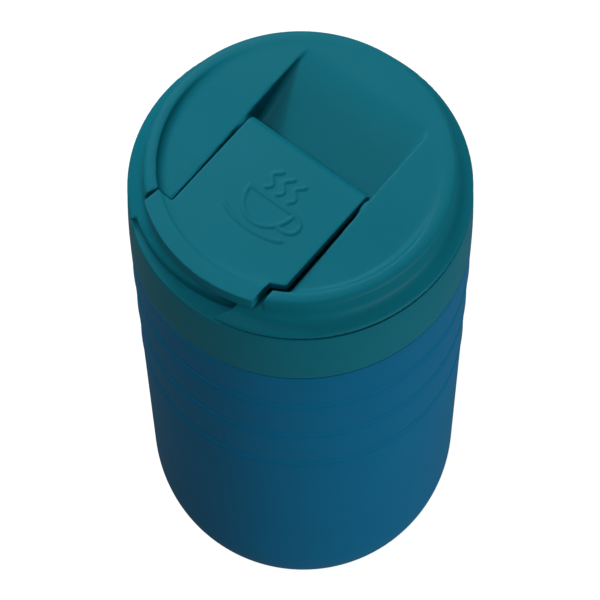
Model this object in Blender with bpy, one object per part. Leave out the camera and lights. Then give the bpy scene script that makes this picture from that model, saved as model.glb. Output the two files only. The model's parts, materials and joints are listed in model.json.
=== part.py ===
"""Insulated travel cup: double-walled steel cup, screw-on lid, flip-up flap.

The cup stands on the XY plane with its axis on +Z. The flap's finger tab points to -Y.
"""

import math

import bmesh
import bpy
from mathutils import Matrix, Vector

MM = 0.001

# Cup, outside
BODY_RADIUS = 42.0 * MM
BODY_HEIGHT = 140.0 * MM
FOOT_INSET = 11.8 * MM
FOOT_RISE = 23.7 * MM
FOOT_LIFT = 0.8 * MM
BODY_TAPER = 0.6 * MM
SHELL_WALL = 0.6 * MM
SHOULDER_ROUND = 0.5 * MM
RIB_HEIGHT = 0.15 * MM
RIB_WIDTH = 3.4 * MM
RIB_CREST_SHARE = 0.35
RIB_PITCH = 17.6 * MM
RIB_COUNT = 3
TOP_RIB_DROP = 15.9 * MM

# Neck and its four-start thread
NECK_INSET = 3.6 * MM
NECK_HEIGHT = 16.2 * MM
THREAD_LEAD = 16.0 * MM
THREAD_STARTS = 4
THREAD_HEIGHT = 0.9 * MM
THREAD_SINK = 0.25 * MM
THREAD_FOOT = 1.9 * MM
THREAD_CREST = 0.8 * MM
THREAD_RISE = 3.2 * MM
NECK_THREAD_SPAN = math.radians(165)
LID_THREAD_SPAN = math.radians(75)

# Liner, base and foot pad
FLASK_GAP = 0.7 * MM
FLASK_WALL = 0.5 * MM
FLASK_ROUND = 16.0 * MM
FLASK_LIFT = 3.7 * MM
LIP_THICKNESS = 0.7 * MM
BASE_WALL = 0.6 * MM
BASE_LEVEL = 3.0 * MM
DIMPLE_RADIUS = 5.0 * MM
DIMPLE_DEPTH = 1.8 * MM
PUMP_HOLE_RADIUS = 0.8 * MM
BEAD_RADIUS = 2.4 * MM
BEAD_DEPTH = 1.26 * MM
GETTER_RADIUS = 6.0 * MM
GETTER_THICKNESS = 1.6 * MM
PAD_GROOVE_RADIUS = 15.0 * MM
PAD_GROOVE_WIDTH = 1.6 * MM
PAD_GROOVE_DEPTH = 0.5 * MM

# Lid collar
COLLAR_LEAN = 0.6 * MM
COLLAR_FLANGE = 1.6 * MM
COLLAR_FLANGE_REACH = 7.2 * MM
COLLAR_CHAMFER = 0.4 * MM
COLLAR_LIP_CLEARANCE = 1.0 * MM
THREAD_CLEARANCE = 0.4 * MM

# Lid shell; the heights are above the collar's top
GROOVE_HEIGHT = 0.9 * MM
GROOVE_DEPTH = 0.6 * MM
SHOULDER_BAND = 0.5 * MM
SHOULDER_EDGE = 0.4 * MM
SHOULDER_SLOPE_RUN = 1.8 * MM
VALLEY_WIDTH = 2.2 * MM
VALLEY_ROUND = 3.0 * MM
VALLEY_RISE = 5.0 * MM
RIM_INSET = 4.6 * MM
RIM_HEIGHT = 10.8 * MM
RIM_ROUND = 1.4 * MM
RING_WIDTH = 3.4 * MM
RING_EDGE = 0.3 * MM
DISH_DROP = 2.2 * MM
DISH_START = 9.0 * MM
CHANNEL_HALF = 18.5 * MM
WELL_FLOOR = 2.2 * MM
WELL_LIP = 4.4 * MM
SEAT_LEVEL = 6.5 * MM
SCOOP_START = 6.0 * MM
SCOOP_SLOPE = 0.42
SCOOP_END_INSET = 7.4 * MM
POCKET_WALL = 6.0 * MM
DECK_WALL = 2.2 * MM

# Thumb notch under the tab; the wall's angles are about its own centre, the mouth's about the cup's axis
NOTCH_INSET = 2.4 * MM
NOTCH_CENTRE = Vector((-4.5 * MM, -3.0 * MM))
NOTCH_WALL_LEFT = math.radians(34.5)
NOTCH_WALL_RIGHT = math.radians(26)
NOTCH_MOUTH_LEFT = math.radians(37)
NOTCH_MOUTH_RIGHT = math.radians(6.3)

# Flap and hinge
FLAP_SIDE_GAP = 0.9 * MM
FLAP_DROP = 0.7 * MM
FLAP_THICKNESS = 2.6 * MM
FLAP_STEP = 5.2 * MM
TAB_PROUD = 0.6 * MM
TAB_OVERLAP = 0.6 * MM
TAB_LEFT = math.radians(36.3)
TAB_LEFT_LEAN = math.radians(3.6)
TAB_RIGHT_INSET = 3.5 * MM
TAB_RIGHT_GAP = 1.9 * MM
TAB_GAP = 0.45 * MM
KNUCKLE_RADIUS = 3.3 * MM
KNUCKLE_PROUD = 0.1 * MM
HINGE_Y = 1.2 * MM
PIN_RADIUS = 1.2 * MM
PIN_CLEARANCE = 0.25 * MM
PIN_SEAT = 2.7 * MM
UNDERPLATE_THICKNESS = 1.4 * MM
UNDERPLATE_INSET = 1.2 * MM

# Drink hole and vent, stoppers, plug; the drops are below the steel lip
HOLE_SETBACK = 9.0 * MM
HOLE_HALF_LENGTH = 8.0 * MM
HOLE_HALF_WIDTH = 3.4 * MM
VENT_Y = -8.0 * MM
VENT_RADIUS = 1.7 * MM
STOPPER_CLEARANCE = 0.6 * MM
STOPPER_DEPTH = 1.3 * MM
STOPPER_SKIRT = 1.2 * MM
VENT_PLUG_DEPTH = 0.3 * MM
VENT_PLUG_FLARE = 0.8 * MM
STEM_RADIUS = 2.0 * MM
PLUG_CLEARANCE = 1.0 * MM
PLUG_DROP = 13.2 * MM
PLUG_FLOOR = 2.0 * MM
PLUG_WALL = 3.0 * MM
PLUG_CHAMFER = 1.0 * MM
TUBE_WALL = 1.5 * MM
SEAL_THICKNESS = 0.9 * MM
GASKET_DROP = 8.7 * MM
GASKET_HEIGHT = 5.3 * MM
GASKET_DEPTH = 1.4 * MM
FIN_SHARES = (0.25, 0.72)
FIN_ROOT = 0.7 * MM
FIN_TIP = 0.2 * MM
FIN_LIFT = 0.3 * MM

# Gap left between pieces that touch, how far a cutter runs past what it cuts, and the counts of facets
FIT_GAP = 0.3 * MM
OVERRUN = 2.0 * MM
ROUND_STEPS = 56
INNER_STEPS = 40
SMALL_STEPS = 12

# Levels and radii that follow from the sizes above
SEAM = BODY_HEIGHT
FOOT_RADIUS = BODY_RADIUS - FOOT_INSET
NECK_RADIUS = BODY_RADIUS - NECK_INSET
NECK_TOP = SEAM + NECK_HEIGHT
FLASK_RADIUS = NECK_RADIUS - SHELL_WALL - FLASK_GAP
FLASK_INSIDE = FLASK_RADIUS - FLASK_WALL
LIP_TOP = NECK_TOP + FIT_GAP + LIP_THICKNESS
DIMPLE_TOP = BASE_LEVEL + BASE_WALL + DIMPLE_DEPTH
FLASK_FLOOR = DIMPLE_TOP + FIT_GAP + GETTER_THICKNESS + FLASK_LIFT
COLLAR_BOTTOM = SEAM + FIT_GAP
COLLAR_TOP = LIP_TOP + COLLAR_LIP_CLEARANCE + COLLAR_FLANGE
COLLAR_TOP_RADIUS = BODY_RADIUS - COLLAR_LEAN
COLLAR_BORE = NECK_RADIUS + THREAD_HEIGHT + THREAD_CLEARANCE
LID_UNDERSIDE = COLLAR_TOP + FIT_GAP
RIM_TOP = COLLAR_TOP + RIM_HEIGHT
RIM_RADIUS = BODY_RADIUS - RIM_INSET
RING_RADIUS = RIM_RADIUS - RING_WIDTH
WELL_Z = COLLAR_TOP + WELL_FLOOR
WELL_FRONT = RIM_RADIUS - WELL_LIP
SEAT_Z = COLLAR_TOP + SEAT_LEVEL
SCOOP_END = RIM_RADIUS - SCOOP_END_INSET
NOTCH_RADIUS = RIM_RADIUS - NOTCH_INSET
FLAP_HALF = CHANNEL_HALF - FLAP_SIDE_GAP
FLAP_Z = RIM_TOP - FLAP_DROP
FLAP_UNDERSIDE = FLAP_Z - FLAP_THICKNESS
TAB_RADIUS = RIM_RADIUS + TAB_PROUD
TAB_RIGHT_X = FLAP_HALF - TAB_RIGHT_INSET
PLATE_FRONT = WELL_FRONT - FLAP_SIDE_GAP
TAB_ROOT = PLATE_FRONT - TAB_OVERLAP
HINGE = Vector((0.0, HINGE_Y, FLAP_Z + KNUCKLE_PROUD - KNUCKLE_RADIUS))
PIN_BORE = PIN_RADIUS + PIN_CLEARANCE
UNDERPLATE_TOP = FLAP_UNDERSIDE - FIT_GAP
UNDERPLATE_BOTTOM = UNDERPLATE_TOP - UNDERPLATE_THICKNESS
HOLE_Y = HOLE_SETBACK - WELL_FRONT
PLUG_RADIUS = FLASK_INSIDE - PLUG_CLEARANCE
PLUG_TOP = COLLAR_TOP - COLLAR_FLANGE - FIT_GAP
TUBE_TOP = LID_UNDERSIDE - FIT_GAP - SEAL_THICKNESS - FIT_GAP


def clear_scene():
    for obj in list(bpy.data.objects):
        bpy.data.objects.remove(obj)


def finish(name, colour, roughness, metallic=0.0):
    """A plain Principled material."""
    material = bpy.data.materials.new(name)
    material.use_nodes = True
    shader = material.node_tree.nodes["Principled BSDF"]
    shader.inputs["Base Color"].default_value = (*colour, 1.0)
    shader.inputs["Roughness"].default_value = roughness
    shader.inputs["Metallic"].default_value = metallic
    return material


def body_object(name, bm, material=None):
    """One object from a bmesh: doubles merged, faces turned outwards, round faces smooth."""
    bmesh.ops.remove_doubles(bm, verts=bm.verts, dist=1e-7)
    bmesh.ops.recalc_face_normals(bm, faces=bm.faces)
    mesh = bpy.data.meshes.new(name)
    bm.to_mesh(mesh)
    bm.free()
    mesh.shade_smooth()
    mesh.set_sharp_from_angle(angle=math.radians(30))
    obj = bpy.data.objects.new(name, mesh)
    bpy.context.scene.collection.objects.link(obj)
    if material:
        mesh.materials.append(material)
    return obj


def tool(name, bm):
    """A cutting or joining shape that is not part of the object."""
    obj = body_object(name, bm)
    obj.hide_render = True
    obj.display_type = "WIRE"
    return obj


def combine(obj, other, operation="DIFFERENCE"):
    modifier = obj.modifiers.new(other.name, "BOOLEAN")
    modifier.operation = operation
    modifier.object = other
    modifier.solver = "EXACT"


def turned(outline, steps=ROUND_STEPS, closed=True):
    """Spin an (r, z) outline about Z. An open outline starts and ends on the axis."""
    bm = bmesh.new()
    verts = [bm.verts.new((r, 0.0, z)) for r, z in outline]
    edges = [bm.edges.new(pair) for pair in zip(verts, verts[1:])]
    if closed:
        edges.append(bm.edges.new((verts[-1], verts[0])))
    bmesh.ops.spin(bm, geom=verts + edges, cent=(0, 0, 0), axis=(0, 0, 1),
                   angle=2 * math.pi, steps=steps, use_merge=True)
    return bm


def prism(plan, low, high):
    """A flat outline of (x, y) points, extruded from one level to another."""
    bm = bmesh.new()
    face = bm.faces.new([bm.verts.new((x, y, low)) for x, y in plan])
    extruded = bmesh.ops.extrude_face_region(bm, geom=[face])
    top = [item for item in extruded["geom"] if isinstance(item, bmesh.types.BMVert)]
    bmesh.ops.translate(bm, verts=top, vec=(0, 0, high - low))
    return bm


def side_prism(outline, half):
    """An outline of (y, z) points, extruded across X to both sides."""
    bm = prism([(y, z) for y, z in outline], -half, half)
    bmesh.ops.transform(bm, verts=bm.verts, matrix=Matrix(
        ((0, 0, 1, 0), (1, 0, 0, 0), (0, 1, 0, 0), (0, 0, 0, 1))))
    return bm


def rod(radius, half, steps=SMALL_STEPS):
    """A round bar across X on the hinge axis."""
    circle = [(HINGE.y + radius * math.cos(2 * math.pi * i / steps),
               HINGE.z + radius * math.sin(2 * math.pi * i / steps)) for i in range(steps)]
    return side_prism(circle, half)


def arc(centre, radius, start, end, steps):
    """Points of (x, y) on an arc; angles are measured from -Y, towards -X."""
    points = []
    for i in range(steps + 1):
        angle = start + (end - start) * i / steps
        points.append((centre[0] - radius * math.sin(angle), centre[1] - radius * math.cos(angle)))
    return points


def slot(half_length, half_width, centre_y, steps=SMALL_STEPS):
    """A round-ended slot along X."""
    points = []
    for side in (1, -1):
        for i in range(steps // 2 + 1):
            angle = side * math.pi / 2 - math.pi * i / (steps // 2)
            points.append((side * (half_length - half_width) + half_width * math.cos(angle),
                           centre_y + half_width * math.sin(angle)))
    return points


def circle_plan(radius, centre_y, steps=SMALL_STEPS):
    return [(radius * math.cos(2 * math.pi * i / steps),
             centre_y + radius * math.sin(2 * math.pi * i / steps)) for i in range(steps)]


def quarter(centre, half_r, half_z, start, end, steps):
    """Points of (r, z) on a quarter of an ellipse, from one angle to the other in degrees."""
    points = []
    for i in range(steps + 1):
        angle = math.radians(start + (end - start) * i / steps)
        points.append((centre[0] + half_r * math.cos(angle), centre[1] + half_z * math.sin(angle)))
    return points


def thread_ridge(wall, inward, low, start, span):
    """One helical ridge on a round wall; its foot sinks a little into the wall."""
    out = -1 if inward else 1
    foot, crest = wall - out * THREAD_SINK, wall + out * THREAD_HEIGHT
    steps = round(span * ROUND_STEPS / (2 * math.pi))
    section = ((foot, -THREAD_FOOT / 2), (crest, -THREAD_CREST / 2),
               (crest, THREAD_CREST / 2), (foot, THREAD_FOOT / 2))
    bm = bmesh.new()
    rings = []
    for i in range(steps + 1):
        turn = span * i / steps
        rise = low + THREAD_LEAD * turn / (2 * math.pi)
        angle = start + turn
        rings.append([bm.verts.new((r * math.cos(angle), r * math.sin(angle), rise + z))
                      for r, z in section])
    for lower, upper in zip(rings, rings[1:]):
        for i in range(4):
            bm.faces.new((lower[i], lower[(i + 1) % 4], upper[(i + 1) % 4], upper[i]))
    bm.faces.new(rings[0])
    bm.faces.new(rings[-1])
    return bm


def add_thread(obj, wall, inward, low, span):
    for start in range(THREAD_STARTS):
        angle = 2 * math.pi * start / THREAD_STARTS
        ridge = thread_ridge(wall, inward, low, angle, span)
        combine(obj, tool(f"{obj.name}_ridge_{start + 1}", ridge), "UNION")


def make_outer_shell(material):
    foot_centre = (FOOT_RADIUS, FOOT_RISE)
    low_radius = BODY_RADIUS - BODY_TAPER
    rise = FOOT_RISE - FOOT_LIFT

    def wall_radius(z):
        return low_radius + BODY_TAPER * (z - FOOT_RISE) / (BODY_HEIGHT - FOOT_RISE)

    outside = quarter(foot_centre, low_radius - FOOT_RADIUS, rise, -90, 0, 6)
    for count in reversed(range(RIB_COUNT)):
        middle = BODY_HEIGHT - TOP_RIB_DROP - RIB_PITCH * count
        crest = RIB_CREST_SHARE
        for step, height in ((-1, 0.0), (-crest, RIB_HEIGHT), (crest, RIB_HEIGHT), (1, 0.0)):
            z = middle + step * RIB_WIDTH / 2
            outside.append((wall_radius(z) + height, z))
    corner = (BODY_RADIUS - SHOULDER_ROUND, BODY_HEIGHT - SHOULDER_ROUND)
    outside += quarter(corner, SHOULDER_ROUND, SHOULDER_ROUND, 0, 90, 2)
    outside += [(NECK_RADIUS, BODY_HEIGHT), (NECK_RADIUS, NECK_TOP)]
    inside = [(NECK_RADIUS - SHELL_WALL, NECK_TOP), (NECK_RADIUS - SHELL_WALL, SEAM - SHELL_WALL)]
    inside += [(BODY_RADIUS - SHOULDER_ROUND, SEAM - SHELL_WALL),
               (BODY_RADIUS - SHELL_WALL, SEAM - SHOULDER_ROUND)]
    inside += quarter(foot_centre, low_radius - FOOT_RADIUS - SHELL_WALL, rise - SHELL_WALL, 0, -75, 3)
    inside += [(FOOT_RADIUS, BASE_LEVEL + BASE_WALL), (FOOT_RADIUS - SHELL_WALL, BASE_LEVEL + BASE_WALL),
               (FOOT_RADIUS - SHELL_WALL, FOOT_LIFT)]
    obj = body_object("outer_shell", turned(outside + inside), material)
    add_thread(obj, NECK_RADIUS, False, SEAM + THREAD_RISE, NECK_THREAD_SPAN)
    return obj


def make_inner_flask(material):
    corner = (FLASK_RADIUS - FLASK_ROUND, FLASK_FLOOR + FLASK_ROUND)
    outside = [(0.0, FLASK_FLOOR)] + quarter(corner, FLASK_ROUND, FLASK_ROUND, -90, 0, 4)
    outside += [(FLASK_RADIUS, NECK_TOP + FIT_GAP), (NECK_RADIUS, NECK_TOP + FIT_GAP),
                (NECK_RADIUS, LIP_TOP - LIP_THICKNESS / 2), (NECK_RADIUS - LIP_THICKNESS / 2, LIP_TOP),
                (FLASK_INSIDE + LIP_THICKNESS / 2, LIP_TOP), (FLASK_INSIDE, LIP_TOP - LIP_THICKNESS / 2)]
    inside = quarter(corner, FLASK_ROUND - FLASK_WALL, FLASK_ROUND - FLASK_WALL, 0, -90, 4)
    inside.append((0.0, FLASK_FLOOR + FLASK_WALL))
    return body_object("inner_flask", turned(outside + inside, INNER_STEPS, closed=False), material)


def make_base(steel, solder, pellet, silicone):
    disc_radius = FOOT_RADIUS - SHELL_WALL - FIT_GAP
    low, high = BASE_LEVEL, BASE_LEVEL + BASE_WALL
    outline = [(PUMP_HOLE_RADIUS, low + DIMPLE_DEPTH), (DIMPLE_RADIUS - DIMPLE_DEPTH, low + DIMPLE_DEPTH),
               (DIMPLE_RADIUS, low), (disc_radius, low), (disc_radius, high),
               (DIMPLE_RADIUS + BASE_WALL / 2, high),
               (DIMPLE_RADIUS + BASE_WALL / 2 - DIMPLE_DEPTH, high + DIMPLE_DEPTH),
               (PUMP_HOLE_RADIUS, high + DIMPLE_DEPTH)]
    body_object("shell_base", turned(outline, INNER_STEPS), steel)
    top = low + DIMPLE_DEPTH - FIT_GAP
    outline = [(0.0, top), (BEAD_RADIUS, top)]
    outline += quarter((0.0, top), BEAD_RADIUS, BEAD_DEPTH, -15, -75, 3)
    outline.append((0.0, top - BEAD_DEPTH))
    body_object("seal_bead", turned(outline, SMALL_STEPS, closed=False), solder)
    low = DIMPLE_TOP + FIT_GAP
    outline = [(0.0, low), (GETTER_RADIUS, low), (GETTER_RADIUS, low + GETTER_THICKNESS),
               (0.0, low + GETTER_THICKNESS)]
    body_object("getter", turned(outline, SMALL_STEPS, closed=False), pellet)
    pad_top = BASE_LEVEL - FIT_GAP
    half = PAD_GROOVE_WIDTH / 2
    outline = [(0.0, 0.0), (PAD_GROOVE_RADIUS - half, 0.0), (PAD_GROOVE_RADIUS - half, PAD_GROOVE_DEPTH),
               (PAD_GROOVE_RADIUS + half, PAD_GROOVE_DEPTH), (PAD_GROOVE_RADIUS + half, 0.0),
               (disc_radius - FIT_GAP, 0.0), (disc_radius, FIT_GAP), (disc_radius, pad_top), (0.0, pad_top)]
    body_object("base_pad", turned(outline, INNER_STEPS, closed=False), silicone)


def make_collar(material):
    edge = COLLAR_CHAMFER
    flange_radius = COLLAR_TOP_RADIUS - COLLAR_FLANGE_REACH
    outline = [(COLLAR_BORE + edge, COLLAR_BOTTOM), (BODY_RADIUS - edge, COLLAR_BOTTOM),
               (BODY_RADIUS, COLLAR_BOTTOM + edge), (COLLAR_TOP_RADIUS, COLLAR_TOP - edge),
               (COLLAR_TOP_RADIUS - edge, COLLAR_TOP), (flange_radius, COLLAR_TOP),
               (flange_radius, COLLAR_TOP - COLLAR_FLANGE), (COLLAR_BORE, COLLAR_TOP - COLLAR_FLANGE),
               (COLLAR_BORE, COLLAR_BOTTOM + edge)]
    obj = body_object("lid_collar", turned(outline), material)
    pitch = THREAD_LEAD / THREAD_STARTS
    add_thread(obj, COLLAR_BORE, True, SEAM + THREAD_RISE + pitch / 2, LID_THREAD_SPAN)
    return obj


def dish_drop(y):
    """How far the deck lies below the rim: nothing at the back, most under the flap's tab."""
    share = max(0.0, DISH_START - y) / (DISH_START + RING_RADIUS)
    return DISH_DROP * (1 - (1 - share) ** 2)


def lid_blank():
    """The lid's outer form: shoulder, valley, rim ring and dished deck, on a flat underside."""
    groove_radius = COLLAR_TOP_RADIUS - GROOVE_DEPTH
    shoulder = COLLAR_TOP + GROOVE_HEIGHT
    band = shoulder + SHOULDER_BAND
    fixed = [(groove_radius, LID_UNDERSIDE), (groove_radius, shoulder), (COLLAR_TOP_RADIUS, shoulder),
             (COLLAR_TOP_RADIUS, band), (COLLAR_TOP_RADIUS - SHOULDER_EDGE, band + SHOULDER_EDGE),
             (COLLAR_TOP_RADIUS - SHOULDER_SLOPE_RUN, shoulder + SHOULDER_SLOPE_RUN)]
    valley = (RIM_RADIUS + VALLEY_WIDTH, shoulder + VALLEY_RISE)
    fixed += quarter(valley, VALLEY_WIDTH, VALLEY_ROUND, -120, -180, 3)
    fixed += quarter((RIM_RADIUS - RIM_ROUND, RIM_TOP - RIM_ROUND), RIM_ROUND, RIM_ROUND, 0, 90, 3)
    fixed.append((RING_RADIUS + RING_EDGE, RIM_TOP))
    dished = [RING_RADIUS * share for share in (1.0, 0.75, 0.5, 0.25)]
    bm = bmesh.new()
    rings = []
    for i in range(ROUND_STEPS):
        angle = 2 * math.pi * i / ROUND_STEPS
        along = Vector((math.cos(angle), math.sin(angle), 0))
        ring = [bm.verts.new(along * r + Vector((0, 0, z))) for r, z in fixed]
        for r in dished:
            point = along * r
            ring.append(bm.verts.new(point + Vector((0, 0, RIM_TOP - dish_drop(point.y)))))
        rings.append(ring)
    top = bm.verts.new((0, 0, RIM_TOP - dish_drop(0.0)))
    bottom = bm.verts.new((0, 0, LID_UNDERSIDE))
    for i, ring in enumerate(rings):
        following = rings[(i + 1) % ROUND_STEPS]
        for lower, upper, far_lower, far_upper in zip(ring, ring[1:], following, following[1:]):
            bm.faces.new((lower, far_lower, far_upper, upper))
        bm.faces.new((ring[-1], following[-1], top))
        bm.faces.new((bottom, following[0], ring[0]))
    bmesh.ops.triangulate(bm, faces=bm.faces)
    return bm


def scoop_level(y):
    """Floor of the scoop behind the hinge: a ramp that grows level where it meets the rim."""
    length = SCOOP_END - SCOOP_START
    share = (y - SCOOP_START) / length
    rise = RIM_TOP + FIT_GAP - WELL_Z
    slope = SCOOP_SLOPE * length
    return WELL_Z + slope * share * (1 - share) ** 2 + rise * share ** 2 * (3 - 2 * share)


def tab_plan(grow, right_grow):
    """Plan outline of the finger tab; grow is the clearance that its seat adds all round."""
    left_outer = TAB_LEFT + grow / RIM_RADIUS
    left_inner = TAB_LEFT + TAB_LEFT_LEAN + grow / RING_RADIUS
    outer = BODY_RADIUS + OVERRUN if grow else TAB_RADIUS
    right = TAB_RIGHT_X + right_grow
    corner = RING_RADIUS - grow
    inner = TAB_ROOT - grow
    points = arc((0, 0), outer, left_outer, -math.asin(right / outer), 12)
    points += arc((0, 0), inner, -math.asin(right / inner), math.asin((FLAP_HALF + grow) / inner), 8)
    points.append((-corner * math.sin(left_inner), -corner * math.cos(left_inner)))
    return points


def make_lid_shell(material):
    lid = body_object("lid_shell", lid_blank(), material)
    above = RIM_TOP + OVERRUN
    below = LID_UNDERSIDE - OVERRUN
    edge = math.asin(CHANNEL_HALF / WELL_FRONT)
    well = arc((0, 0), WELL_FRONT, edge, -edge, 10) + [(CHANNEL_HALF, 0.0), (-CHANNEL_HALF, 0.0)]
    combine(lid, tool("well_cutter", prism(well, WELL_Z, above)))
    floor = [SCOOP_START + (SCOOP_END - SCOOP_START) * i / 8 for i in range(9)]
    scoop = [(y, scoop_level(y)) for y in floor]
    scoop += [(SCOOP_END, above), (-OVERRUN, above), (-OVERRUN, WELL_Z)]
    combine(lid, tool("scoop_cutter", side_prism(scoop, CHANNEL_HALF)))
    combine(lid, tool("seat_cutter", prism(tab_plan(TAB_GAP, TAB_RIGHT_GAP), SEAT_Z, above)))
    notch = arc(NOTCH_CENTRE, NOTCH_RADIUS, NOTCH_WALL_LEFT, -NOTCH_WALL_RIGHT, 10)
    notch += arc((0, 0), BODY_RADIUS + OVERRUN, -NOTCH_MOUTH_RIGHT, NOTCH_MOUTH_LEFT, 4)
    combine(lid, tool("notch_cutter", prism(notch, below, SEAT_Z + OVERRUN)))
    pocket_edge = CHANNEL_HALF + POCKET_WALL
    pocket_radius = RING_RADIUS - DECK_WALL / 2
    pocket_top = RIM_TOP - DISH_DROP - DECK_WALL
    half_angle = math.acos(pocket_edge / pocket_radius)
    for side, name in ((-1, "left"), (1, "right")):
        middle = -side * math.pi / 2
        pocket = arc((0, 0), pocket_radius, middle - half_angle, middle + half_angle, 10)
        combine(lid, tool(f"{name}_pocket_cutter", prism(pocket, below, pocket_top)))
    start = SCOOP_START + POCKET_WALL
    under = [start + (SCOOP_END - start) * i / 5 for i in range(6)]
    hollow = [(y, scoop_level(y) - DECK_WALL) for y in under] + [(SCOOP_END, below), (start, below)]
    combine(lid, tool("scoop_hollow_cutter", side_prism(hollow, CHANNEL_HALF - DECK_WALL)))
    hole = slot(HOLE_HALF_LENGTH, HOLE_HALF_WIDTH, HOLE_Y)
    combine(lid, tool("drink_hole_cutter", prism(hole, below, WELL_Z + OVERRUN)))
    vent = circle_plan(VENT_RADIUS, VENT_Y)
    combine(lid, tool("vent_cutter", prism(vent, below, WELL_Z + OVERRUN)))
    seat_half = CHANNEL_HALF + PIN_SEAT + PIN_CLEARANCE
    combine(lid, tool("pin_seat_cutter", rod(PIN_BORE, seat_half)))
    return lid


def make_pin(material):
    body_object("hinge_pin", rod(PIN_RADIUS, CHANNEL_HALF + PIN_SEAT), material)


def make_flap(plastic, liner, silicone):
    standing = set(bpy.data.objects)
    edge = math.asin(FLAP_HALF / PLATE_FRONT)
    plate = arc((0, 0), PLATE_FRONT, edge, -edge, 8) + [(FLAP_HALF, HINGE.y), (-FLAP_HALF, HINGE.y)]
    flap = body_object("flap", prism(plate, FLAP_UNDERSIDE, FLAP_Z), plastic)
    combine(flap, tool("flap_tab", prism(tab_plan(0.0, 0.0), SEAT_Z + FIT_GAP, RIM_TOP)), "UNION")
    combine(flap, tool("flap_knuckle", rod(KNUCKLE_RADIUS, FLAP_HALF, 24)), "UNION")
    dip = arc((0, 0), RIM_RADIUS - FLAP_STEP, math.pi / 2, -math.pi / 2, 20)
    combine(flap, tool("flap_dip_cutter", prism(dip, FLAP_Z, RIM_TOP + OVERRUN)))
    combine(flap, tool("flap_bore_cutter", rod(PIN_BORE, CHANNEL_HALF)))

    radius = TAB_ROOT - FIT_GAP
    half = FLAP_HALF - UNDERPLATE_INSET
    edge = math.asin(half / radius)
    rear = HINGE.y - KNUCKLE_RADIUS - UNDERPLATE_INSET
    plan = arc((0, 0), radius, edge, -edge, 8) + [(half, rear), (-half, rear)]
    underplate = body_object("flap_underplate", prism(plan, UNDERPLATE_BOTTOM, UNDERPLATE_TOP), liner)
    stem_hole = circle_plan(STEM_RADIUS + FIT_GAP, HOLE_Y)
    drill = prism(stem_hole, UNDERPLATE_BOTTOM - OVERRUN, UNDERPLATE_TOP + OVERRUN)
    combine(underplate, tool("stem_hole_cutter", drill))

    head = UNDERPLATE_BOTTOM - FIT_GAP
    half_length = HOLE_HALF_LENGTH - STOPPER_CLEARANCE
    half_width = HOLE_HALF_WIDTH - STOPPER_CLEARANCE
    plug = prism(slot(half_length, half_width, HOLE_Y), WELL_Z - STOPPER_DEPTH, head)
    stopper = body_object("spout_stopper", plug, silicone)
    skirt = slot(HOLE_HALF_LENGTH + STOPPER_SKIRT, HOLE_HALF_WIDTH + STOPPER_SKIRT, HOLE_Y)
    combine(stopper, tool("stopper_skirt", prism(skirt, WELL_Z + FIT_GAP, head)), "UNION")
    stem = prism(circle_plan(STEM_RADIUS, HOLE_Y), WELL_Z, UNDERPLATE_TOP)
    combine(stopper, tool("stopper_stem", stem), "UNION")

    cone = bmesh.new()
    tip = VENT_RADIUS - STOPPER_CLEARANCE
    low = WELL_Z - VENT_PLUG_DEPTH
    bmesh.ops.create_cone(cone, cap_ends=True, segments=SMALL_STEPS, radius1=tip,
                          radius2=VENT_RADIUS + VENT_PLUG_FLARE, depth=head - low,
                          matrix=Matrix.Translation((0, VENT_Y, (head + low) / 2)))
    body_object("vent_stopper", cone, silicone)

    pivot = bpy.data.objects.new("flap_pivot", None)
    pivot.location = HINGE
    bpy.context.scene.collection.objects.link(pivot)
    for obj in set(bpy.data.objects) - standing - {pivot}:
        obj.parent = pivot
        obj.matrix_parent_inverse = Matrix.Translation(-HINGE)


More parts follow.
